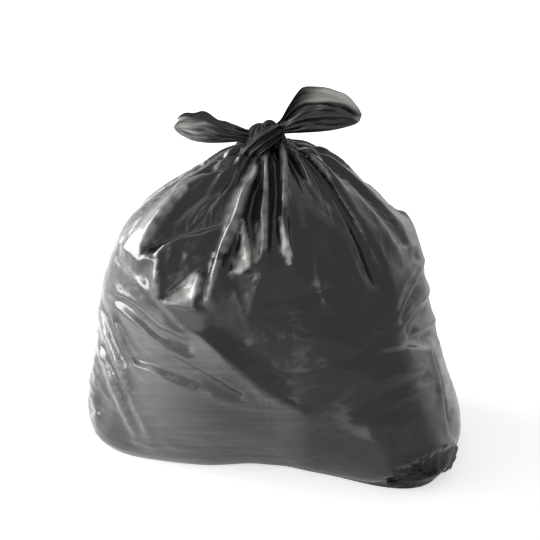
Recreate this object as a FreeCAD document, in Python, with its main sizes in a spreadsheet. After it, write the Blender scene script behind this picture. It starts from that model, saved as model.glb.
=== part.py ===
import FreeCAD, Part

import math
import os

# A full household refuse sack of thin black film, standing on the floor and tied shut.
# The mouth of the sack is gathered into pleats and closed with a knot of its own film, and
# the two corners of the mouth stand out of the knot as ears. One sealed corner of the bottom
# pokes out at the front right. The sack is one piece of film that can't be seen into, so it
# is one closed solid.
# Millimetres, +Z up, +X to the right and +Y to the back. The origin is on the floor, under
# the middle of the sack.

doc = FreeCAD.newDocument("TiedRefuseSack")
sizes = doc.addObject("Spreadsheet::Sheet", "Sizes")

# The overall sizes, and where the sack's leaning middle line starts and ends.
SACK = {
    "gather_height": 432,
    "fill_reach": 265,
    "foot_middle_x": 3,
    "foot_middle_y": 32,
    "gather_middle_x": -11,
    "gather_middle_y": 16,
}

# The filled sack is drawn as level outlines, from the floor up. Each has its level as a
# percentage of the gather's height, and its reach from the middle line in eight directions
# as a percentage of the fill's reach. Then come the extra reach of the sealed corner, as the
# same kind of percentage, and the depth of the pleats, as a percentage of the local reach.
DIRECTIONS = ("right", "back_right", "back", "back_left", "left", "front_left", "front", "front_right")
OUTLINES = {
    "foot": (0, (92, 69, 48, 65, 94, 66, 46, 84), 18, 0),
    "heel": (4.6, (97, 78, 55, 74, 99, 72, 52, 91), 24, 0),
    "belly": (16.2, (95, 82, 58, 78, 98, 78, 59, 91), 16, 0),
    "waist": (34.7, (88, 80, 59, 78, 93, 79, 62, 84), 8, 1.2),
    "chest": (53.7, (83, 75, 58, 75, 87, 75, 63, 76), 3, 3),
    "shoulder": (70, (75, 68, 54, 66, 74, 67, 59, 67), 0, 6),
    "brow": (83.8, (55, 48, 41, 46, 51, 49, 45, 49), 0, 12),
    "collar": (94, (33, 26, 23, 24, 26, 25, 23, 27), 0, 20),
}

# The sealed corner points this way, in degrees from the right, and fades over this spread.
CORNER = {
    "corner_angle": 313,
    "corner_spread": 16,
}

# The pleats that run down from the knot, and the neck that they close to.
PLEATS = {
    "pleat_count": 16,
    "neck_radius": 18,
    "neck_pleat_percent": 25,
}

# The knot: a pressed ball of film centred near the top of the neck, the turn of film that
# crosses over it, and the stub of the mouth that stands up between the ears.
KNOT = {
    "knot_aside": -2,
    "knot_forward": 4,
    "knot_rise": 2,
    "knot_cover": 6,
    "knot_half_depth": 19,
    "knot_half_height": 19,
    "turn_inset": 7,
    "turn_thickness": 8,
    "turn_lean": 40,
    "stub_aside": 15,
    "stub_rise": 17,
    "stub_radius": 9,
}

# Each ear is a folded corner of the mouth: oval sections square to X, each with its distance
# out from the knot, its rise above the knot, its half height and its half thickness.
EARS = {
    "left_ear": (
        ("root", 3, 6, 10, 8),
        ("wrist", 23, 12, 12, 7),
        ("narrow", 44, 15, 15.5, 7),
        ("palm", 65, 17, 20, 7.5),
        ("broad", 85, 19, 22.5, 7.5),
        ("taper", 106, 18, 17, 6),
        ("tip", 117, 17, 10, 4),
        ("point", 121.5, 17, 3.5, 2),
    ),
    "right_ear": (
        ("root", 14, 10, 9, 8),
        ("wrist", 28, 17, 10, 9),
        ("narrow", 41, 29, 20, 12),
        ("palm", 55, 40, 30, 15),
        ("broad", 75, 44, 32, 17),
        ("taper", 99, 43, 29, 16),
        ("tip", 120, 39, 19, 11),
        ("rim", 131, 34, 10, 6),
        ("point", 135, 32, 4, 2.5),
    ),
}
SIDE = {"left_ear": -1, "right_ear": 1}

# The right ear is open along its upper front edge. Its pocket is the ear's own shape, less
# the film's folded wall, raised and brought forward so that it comes out there.
POCKET = {
    "pocket_wall": 6,
    "pocket_rise": 18,
    "pocket_forward": 5,
}
POCKET_PLACES = ("wrist", "narrow", "palm", "broad", "taper", "tip")

POINTS_PER_PLEAT = 6
next_row = [1]


def put(alias, value):
    """Write one driving size into the sheet, under its name."""
    row = next_row[0]
    next_row[0] += 1
    sizes.set(f"A{row}", alias.replace("_", " "))
    sizes.set(f"B{row}", str(value))
    sizes.setAlias(f"B{row}", alias)


for name, (level, reaches, corner, pleat) in OUTLINES.items():
    put(f"{name}_level", level)
    for direction, reach in zip(DIRECTIONS, reaches):
        put(f"{name}_{direction}", reach)
    put(f"{name}_corner", corner)
    put(f"{name}_pleat_percent", pleat)
for group in (SACK, CORNER, PLEATS, KNOT, POCKET):
    for alias, value in group.items():
        put(alias, value)
for ear, sections in EARS.items():
    for place, out, rise, half_height, half_thickness in sections:
        put(f"{ear}_{place}_out", out)
        put(f"{ear}_{place}_rise", rise)
        put(f"{ear}_{place}_half_height", half_height)
        put(f"{ear}_{place}_half_thickness", half_thickness)
doc.recompute()

# The middle of the knot, as the sheet's own expressions.
KNOT_X = "Sizes.gather_middle_x + Sizes.knot_aside"
KNOT_Y = "Sizes.gather_middle_y - Sizes.knot_forward"
KNOT_Z = "Sizes.gather_height + Sizes.knot_rise"


def size(alias):
    return float(getattr(sizes, alias))


def place(part, x, y, z):
    part.setExpression("Placement.Base.x", x)
    part.setExpression("Placement.Base.y", y)
    part.setExpression("Placement.Base.z", z)


def smooth_reach(values, angle):
    """The reach at an angle, on a closed smooth curve through the eight directions."""
    count = len(values)
    turn = (angle / (2 * math.pi) * count) % count
    i = int(turn)
    t = turn - i
    before, here, after, beyond = (values[(i + k) % count] for k in (-1, 0, 1, 2))
    return 0.5 * (
        2 * here
        + (after - before) * t
        + (2 * before - 5 * here + 4 * after - beyond) * t**2
        + (3 * here - before - 3 * after + beyond) * t**3
    )


def pleat_wave(angle, count):
    """0 on a ridge and 1 in the bottom of a pleat, with pleats of uneven width."""
    uneven = 0.9 * math.sin(3 * angle + 0.4) + 0.6 * math.sin(5 * angle + 1.1)
    return 0.5 - 0.5 * math.cos(count * angle + uneven)


def outline(level, reaches, corner, pleat):
    """One level outline of the film, as a closed smooth wire. All but the level are mm."""
    middle_x = size("foot_middle_x") + (size("gather_middle_x") - size("foot_middle_x")) * level
    middle_y = size("foot_middle_y") + (size("gather_middle_y") - size("foot_middle_y")) * level
    pleats = round(size("pleat_count"))
    corner_angle = math.radians(size("corner_angle"))
    corner_spread = math.radians(size("corner_spread"))
    count = pleats * POINTS_PER_PLEAT
    points = []
    for i in range(count):
        angle = 2 * math.pi * i / count
        off_corner = (angle - corner_angle + math.pi) % (2 * math.pi) - math.pi
        reach = smooth_reach(reaches, angle)
        reach += corner * math.exp(-((off_corner / corner_spread) ** 2))
        reach *= 1 - pleat * pleat_wave(angle, pleats)
        x = middle_x + reach * math.cos(angle)
        y = middle_y + reach * math.sin(angle)
        points.append(FreeCAD.Vector(x, y, level * size("gather_height")))
    curve = Part.BSplineCurve()
    curve.interpolate(Points=points, PeriodicFlag=True)
    return Part.Wire([curve.toShape()])


def add_outline(name, wire):
    level = doc.addObject("Part::Feature", f"outline_{name}")
    level.Shape = wire
    return level


def make_film():
    """The filled film, from the floor to the gathered mouth inside the knot."""
    percent = size("fill_reach") / 100
    levels = []
    for name in OUTLINES:
        reaches = [size(f"{name}_{direction}") * percent for direction in DIRECTIONS]
        corner = size(f"{name}_corner") * percent
        pleat = size(f"{name}_pleat_percent") / 100
        wire = outline(size(f"{name}_level") / 100, reaches, corner, pleat)
        levels.append(add_outline(name, wire))
    neck = [size("neck_radius")] * len(DIRECTIONS)
    wire = outline(1, neck, 0, size("neck_pleat_percent") / 100)
    levels.append(add_outline("neck", wire))
    film = doc.addObject("Part::Loft", "film")
    film.Sections = levels
    film.Solid = True
    film.Ruled = False
    return film


def make_knot():
    """The knot's ball, the turn of film that leans across it, and the stub above it."""
    ball = doc.addObject("Part::Ellipsoid", "knot_ball")
    ball.setExpression("Radius1", "Sizes.knot_half_height")
    ball.setExpression("Radius2", "Sizes.neck_radius + Sizes.knot_cover")
    ball.setExpression("Radius3", "Sizes.knot_half_depth")
    place(ball, KNOT_X, KNOT_Y, KNOT_Z)

    turn = doc.addObject("Part::Torus", "knot_turn")
    turn.setExpression("Radius1", "Sizes.neck_radius + Sizes.knot_cover - Sizes.turn_inset")
    turn.setExpression("Radius2", "Sizes.turn_thickness")
    turn.setExpression("Placement.Rotation.Axis.x", "0")
    turn.setExpression("Placement.Rotation.Axis.y", "1")
    turn.setExpression("Placement.Rotation.Axis.z", "0")
    turn.setExpression("Placement.Rotation.Angle", "-Sizes.turn_lean")
    place(turn, KNOT_X, KNOT_Y, KNOT_Z)

    stub = doc.addObject("Part::Sphere", "mouth_stub")
    stub.setExpression("Radius", "Sizes.stub_radius")
    place(stub, f"{KNOT_X} + Sizes.stub_aside", KNOT_Y, f"{KNOT_Z} + Sizes.stub_rise")
    return [ball, turn, stub]


def loft_ovals(name, ear, places, less="0", up="0", forward="0"):
    """A solid lofted through an ear's ovals, made smaller, raised and brought forward."""
    sign = "-" if SIDE[ear] < 0 else "+"
    ovals = []
    for spot in places:
        own = f"Sizes.{ear}_{spot}"
        oval = doc.addObject("Part::Ellipse", f"{name}_{spot}")
        oval.Placement.Rotation = FreeCAD.Rotation(FreeCAD.Vector(0, 1, 0), -90)
        oval.setExpression("MajorRadius", f"{own}_half_height - {less}")
        oval.setExpression("MinorRadius", f"{own}_half_thickness - {less}")
        place(
            oval,
            f"{KNOT_X} {sign} {own}_out",
            f"{KNOT_Y} - {forward}",
            f"{KNOT_Z} + {own}_rise + {up}",
        )
        ovals.append(oval)
    loft = doc.addObject("Part::Loft", name)
    loft.Sections = ovals
    loft.Solid = True
    loft.Ruled = False
    return loft


def make_ears():
    """Both ears, from inside the knot to their rounded tips, the right one with its pocket."""
    left, right = (loft_ovals(ear, ear, [row[0] for row in EARS[ear]]) for ear in EARS)
    pocket = loft_ovals(
        "pocket",
        "right_ear",
        POCKET_PLACES,
        less="Sizes.pocket_wall",
        up="Sizes.pocket_rise",
        forward="Sizes.pocket_forward",
    )
    open_ear = doc.addObject("Part::Cut", "open_right_ear")
    open_ear.Base = right
    open_ear.Tool = pocket
    return [left, open_ear]


def make_bag():
    """The whole sack: film, knot and ears joined, because they are one piece of film."""
    bag = doc.addObject("Part::MultiFuse", "bag")
    bag.Label = "bag"
    bag.Shapes = [make_film(), *make_knot(), *make_ears()]
    return bag


def check(part):
    """Stop before anything is written if a feature failed or the sack isn't one sound solid."""
    failed = [o.Name for o in doc.Objects if {"Invalid", "Error"} & set(o.State)]
    if failed:
        raise SystemExit(f"failed features: {failed}")
    shape = part.Shape
    if shape.isNull() or not shape.isValid() or len(shape.Solids) != 1:
        raise SystemExit(f"{part.Label} is not one valid solid")


bag = make_bag()
doc.recompute()
check(bag)
os.makedirs("parts", exist_ok=True)
bag.Shape.exportStep(f"parts/{bag.Label}.step")
box = bag.Shape.optimalBoundingBox(False, True)
print(f"{bag.Label}: {box.XLength:.1f} x {box.YLength:.1f} x {box.ZLength:.1f} mm,", end=" ")
print(f"x {box.XMin:.1f} to {box.XMax:.1f}, y {box.YMin:.1f} to {box.YMax:.1f},", end=" ")
print(f"z {box.ZMin:.2f} to {box.ZMax:.1f}, {bag.Shape.Volume / 1e6:.2f} litres")
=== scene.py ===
import math
import time

import bpy
import numpy as np
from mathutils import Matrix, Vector
from mathutils.bvhtree import BVHTree


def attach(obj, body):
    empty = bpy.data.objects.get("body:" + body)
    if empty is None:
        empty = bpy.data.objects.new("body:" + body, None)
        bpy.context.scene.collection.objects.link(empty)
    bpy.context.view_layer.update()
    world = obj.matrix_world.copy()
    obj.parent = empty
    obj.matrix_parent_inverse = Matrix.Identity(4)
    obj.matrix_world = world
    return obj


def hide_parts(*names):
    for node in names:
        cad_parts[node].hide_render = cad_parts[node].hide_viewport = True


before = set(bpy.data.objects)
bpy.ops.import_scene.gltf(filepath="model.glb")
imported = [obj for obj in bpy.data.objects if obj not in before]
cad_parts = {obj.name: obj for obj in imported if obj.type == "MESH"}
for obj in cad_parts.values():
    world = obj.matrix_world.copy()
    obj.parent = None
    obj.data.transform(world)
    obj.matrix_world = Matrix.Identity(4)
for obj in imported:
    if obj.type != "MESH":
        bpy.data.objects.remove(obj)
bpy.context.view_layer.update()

started = time.time()


def report(stage):
    print(f"[{time.time() - started:5.1f} s] {stage}")


# the photograph's camera

photo = dict(
    pixels=540,                     # both ways
    lens=110.0, sensor=36.0,        # mm
    elevation=20.0,                 # degrees above the floor
    distance=2.27,                  # from the lens to the aim
    aim=(-0.003, -0.004, 0.250),
)


def viewAxes():
    tilt = math.radians(photo["elevation"])
    back = np.array((0.0, -math.cos(tilt), math.sin(tilt)))
    up = np.array((0.0, math.sin(tilt), math.cos(tilt)))
    lensAt = np.array(photo["aim"]) + back * photo["distance"]
    return lensAt, up, back


def toPhoto(sheet):
    # where points (3, ...) land in the photograph, in its pixels
    lensAt, up, back = viewAxes()
    ray = sheet - lensAt.reshape((3,) + (1,) * (sheet.ndim - 1))
    depth = -np.tensordot(back, ray, 1)
    scale = photo["pixels"] * photo["lens"] / photo["sensor"] / depth
    half = photo["pixels"] / 2
    return half + scale * ray[0], half - scale * np.tensordot(up, ray, 1)


def fromPhoto(u, v, y):
    # the point at depth y that a pixel of the photograph shows
    lensAt, up, back = viewAxes()
    half = photo["pixels"] / 2
    ray = up * (half - v) - back * (photo["pixels"] * photo["lens"] / photo["sensor"])
    ray[0] += u - half
    return lensAt + ray * (y - lensAt[1]) / ray[1]


def onLevel(u, v, z):
    # the point at height z that a pixel of the photograph shows
    lensAt = viewAxes()[0]
    ray = fromPhoto(u, v, 0) - lensAt
    return lensAt + ray * (z - lensAt[2]) / ray[2]


def makeCamera():
    data = bpy.data.cameras.new("photoCamera")
    data.lens = photo["lens"]
    data.sensor_width = photo["sensor"]
    data.clip_end = 50.0
    camera = bpy.data.objects.new("photoCamera", data)
    bpy.context.scene.collection.objects.link(camera)
    lensAt, up, back = viewAxes()
    camera.location = lensAt
    camera.rotation_mode = "QUATERNION"
    camera.rotation_quaternion = Vector(back).to_track_quat("Z", "Y")
    bpy.context.scene.camera = camera


# small helpers

def toLinear(hexColour):
    channels = [int(hexColour[i:i + 2], 16) / 255 for i in (1, 3, 5)]
    return [c / 12.92 if c <= 0.04045 else ((c + 0.055) / 1.055) ** 2.4 for c in channels] + [1.0]


def addNode(tree, kind, links=None, **settings):
    # a node with its settings, sockets by name, and links into its inputs
    node = tree.nodes.new(kind)
    for key, value in settings.items():
        if key in node.inputs:
            node.inputs[key].default_value = value
        else:
            setattr(node, key, value)
    for socket, source in (links or {}).items():
        tree.links.new(source, node.inputs[socket])
    return node


def ramp(tree, value, fromLow, fromHigh, low, high, **settings):
    ends = {"From Min": fromLow, "From Max": fromHigh, "To Min": low, "To Max": high}
    return addNode(tree, "ShaderNodeMapRange", {"Value": value}, **ends, **settings).outputs["Result"]


def addMath(tree, operation, first, second):
    # of two sockets, or of a socket and a number
    links = {k: x for k, x in enumerate((first, second)) if not isinstance(x, (int, float))}
    node = addNode(tree, "ShaderNodeMath", links, operation=operation)
    for k, x in enumerate((first, second)):
        if k not in links:
            node.inputs[k].default_value = x
    return node.outputs[0]


def smoothStep(x, low, high):
    t = np.clip((x - low) / (high - low), 0, 1)
    return t * t * (3 - 2 * t)


def ripple(shape, across, along, seed):
    # a smooth random field, about +-1, with lumps of that many cells in u and in v
    rng = np.random.default_rng(seed)
    field = np.fft.fft2(rng.normal(size=shape))
    fv = np.fft.fftfreq(shape[0])[:, None] * along
    fu = np.fft.fftfreq(shape[1])[None, :] * across
    field = np.fft.ifft2(field * np.exp(-4 * (fu ** 2 + fv ** 2))).real
    return field / field.std()


def gridFaces(rows, columns, closed):
    j, i = np.meshgrid(np.arange(rows - 1), np.arange(columns if closed else columns - 1), indexing="ij")
    a = j * columns + i
    b = j * columns + (i + 1) % columns
    return np.stack((a, b, b + columns, a + columns), axis=-1).reshape(-1, 4).tolist()


def addMesh(name, verts, faces, materials=()):
    mesh = bpy.data.meshes.new(name)
    mesh.from_pydata(verts, [], faces)
    mesh.shade_smooth()
    for material in materials:
        mesh.materials.append(material)
    piece = bpy.data.objects.new(name, mesh)
    bpy.context.scene.collection.objects.link(piece)
    return piece


# the film of the sack

film = dict(
    girth=1.474,                    # the flat sack is 737 mm wide, so twice that round
    around=432,                     # columns of the mesh
    upRows=224,                     # rows of the mesh, floor to neck
    neckTop=0.4312,
    footMiddle=(0.003, 0.032),      # the sack leans from here, on the floor,
    neckMiddle=(-0.011, 0.016),     # to here, at the gather
    gather=0.432,
    neckPull=0.007, neckPinch=0.40, # the gather is pulled aside by this, and pinched by this share
    shoulderIn=0.07,                # the share by which the film hangs inside the form under the gather
    rimIn=0.030,                    # how far the film is followed under the sack
    edgeFrom=0.030, edgeFull=0.10,  # below this height the foot is filled out by this share of what it lacks
    # the girth kept at each height, as a share of the form's own
    spare=((0, 1.00), (0.14, 1.00), (0.22, 1.005), (0.30, 1.02), (0.36, 1.08), (0.40, 1.2), (0.432, 1.5)),
    stiffness=0.02,
    creaseAt=0.05,                  # bends sharper than this lose their stiffness,
    creaseHolds=0.6,                # down to this share of it
    cling=0.00001,                  # metres a step
    lumps=0.003,                    # how far the refuse presses out, in metres
    steps=44, growsOver=0.6,        # of the solver, and the share of them in which the spare girth comes in
    tug=0.32, shear=0.10,           # how much of a wrong length a step puts right, along and across the mesh
    drift=0.88,                     # the share of its movement that the film keeps from step to step
    hold=0.12, holdBetween=0.02,    # how firmly the film stays at the placed creases, and between them
    seed=11,
    frontShare=0.45,                # 0 spaces the columns evenly
    creaseFirm=6.0,                 # how firmly the film is held to the creases
    creaseHalf=0.8,                 # half the width of a crease line, in cells of the mesh
    creaseGain=1.45, creaseSoft=0.14,
    tautReach=42.0,                 # mm from a crease to where the film is back on the contents
    backFolds=22, backSlants=16,
    # creased film has creases within creases: mm across, mm high, seed
    crumples=((38, 0.8, 61), (17, 0.42, 62), (9, 0.2, 63)),
    neckPleats=(23, 37), neckPleatHigh=0.0013,
    cell=2.75,                      # mm from row to row, about
    floorGap=0.0006,
)


def middleAt(z):
    t = np.clip(z / film["gather"], 0, 1)
    foot, neck = film["footMiddle"], film["neckMiddle"]
    return foot[0] + (neck[0] - foot[0]) * t, foot[1] + (neck[1] - foot[1]) * t


def leanAt(z):
    # the film's middle: near the gather it is pulled over towards the open ear
    x, y = middleAt(z)
    return x + film["neckPull"] * smoothStep(z, 0.35, 0.432), y


def castForm(angles, levels):
    # the CAD sack's reach from its leaning middle, by rays from outside
    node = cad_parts["bag"]
    tree = BVHTree.FromPolygons([v.co for v in node.data.vertices], [p.vertices for p in node.data.polygons])
    reach = np.zeros((len(levels), len(angles)))
    for j, z in enumerate(levels):
        x, y = middleAt(z)
        for i, angle in enumerate(angles):
            out = Vector((math.cos(angle), math.sin(angle), 0))
            hit = tree.ray_cast(Vector((x, y, z)) + out * 0.6, -out)[0]
            reach[j, i] = (hit - Vector((x, y, z))).length
    return reach


# where the photograph's outline asks for a little more or less than the CAD form: degrees and how
# far round, metres up and how far, millimetres out
nudges = (
    (-158, 16, 0.000, 0.045, 13),
    (-92, 12, 0.000, 0.040, 9),
    (-61, 9, 0.000, 0.050, -16),
    (-20, 15, 0.030, 0.085, 9),
    (-33, 8, 0.000, 0.030, 4),
)


def contentForm():
    # reach of the filled sack by (level, angle), without the CAD's own pleats
    angles = np.linspace(0, 2 * math.pi, 192, endpoint=False)
    levels = np.linspace(0.0015, film["neckTop"], 140)
    reach = castForm(angles, levels)
    waves = np.fft.rfft(reach, axis=1)
    keep = np.interp(levels, (0.20, 0.30), (16, 9))
    order = np.arange(waves.shape[1])
    waves *= 1 / (1 + np.exp((order[None, :] - keep[:, None]) * 1.5))
    smooth = np.fft.irfft(waves, n=reach.shape[1], axis=1)
    smooth += 1.1 * (reach - smooth).std(axis=1)[:, None]
    # the foot is filled out a little towards an upright edge
    edge = np.array([np.interp(film["edgeFrom"], levels, smooth[:, k]) for k in range(smooth.shape[1])])
    short = np.maximum(edge[None, :] - smooth, 0) * (levels < film["edgeFrom"])[:, None]
    smooth += film["edgeFull"] * short
    degrees, up = np.degrees(angles)[None, :], levels[:, None]
    for at, wide, level, tall, out in nudges:
        off = (degrees - at + 180) % 360 - 180
        smooth += 0.001 * out * np.exp(-(off / wide) ** 2 - ((up - level) / tall) ** 2)
    smooth *= 1 - film["shoulderIn"] * smoothStep(up, 0.31, 0.37) * (1 - smoothStep(up, 0.41, 0.432))
    report("read the sack's form from the CAD")
    return dict(levels=levels, reach=smooth)


def reachAt(form, angle, z):
    # bilinear in angle and level
    levels, table = form["levels"], form["reach"]
    rows, columns = table.shape
    a = (angle / (2 * math.pi) * columns) % columns
    i = a.astype(int) % columns
    fa = a - np.floor(a)
    b = np.clip((z - levels[0]) / (levels[1] - levels[0]), 0, rows - 1.001)
    j = b.astype(int)
    fb = b - j
    i2 = (i + 1) % columns
    low = table[j, i] * (1 - fa) + table[j, i2] * fa
    high = table[j + 1, i] * (1 - fa) + table[j + 1, i2] * fa
    return low * (1 - fb) + high * fb


def columnAngles(columns):
    # closer together on the side that the photograph shows
    t = np.linspace(0, 2 * math.pi, columns, endpoint=False)
    return (t + film["frontShare"] * np.cos(t)) % (2 * math.pi)


def startSheet(form, rows, columns):
    # rows from under the sack, out to its edge and up to the neck
    angles = columnAngles(columns)
    fine = np.linspace(0, film["neckTop"], 600)
    mean = reachAt(form, angles[None, :] + 0 * fine[:, None], fine[:, None] + 0 * angles).mean(axis=1)
    path = np.concatenate(([0], np.cumsum(np.hypot(np.diff(mean), np.diff(fine)))))
    total = path[-1] + film["rimIn"]
    along = np.linspace(0, total, rows) - film["rimIn"]
    z = np.interp(np.maximum(along, 0), path, fine)
    inward = np.minimum(along, 0)
    angle = np.broadcast_to(angles, (rows, columns))
    level = np.broadcast_to(z[:, None], (rows, columns))
    reach = reachAt(form, angle, level) + inward[:, None]
    reach = reach * (1 - film["neckPinch"] * smoothStep(level, 0.412, 0.4312))
    x, y = leanAt(level)
    return np.array((x + reach * np.cos(angle), y + reach * np.sin(angle), level))


def outward(sheet):
    # unit normals, facing out
    du = np.roll(sheet, -1, axis=2) - np.roll(sheet, 1, axis=2)
    dv = np.gradient(sheet, axis=1)
    n = np.cross(du, dv, axis=0)
    return n / (np.sqrt((n * n).sum(axis=0)) + 1e-12)


def squareToLens(sheet):
    # 1 where the film faces the photograph's camera, 0 at its outline, less behind
    toLens = viewAxes()[0][:, None, None] - sheet
    toLens /= np.sqrt((toLens ** 2).sum(axis=0))
    return (outward(sheet) * toLens).sum(axis=0)


# the creases, each through points of the photograph: pixel, pixel, and how far the film stands
# out there in mm, or in where it is negative. The film is drawn taut from crease to crease.

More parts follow.
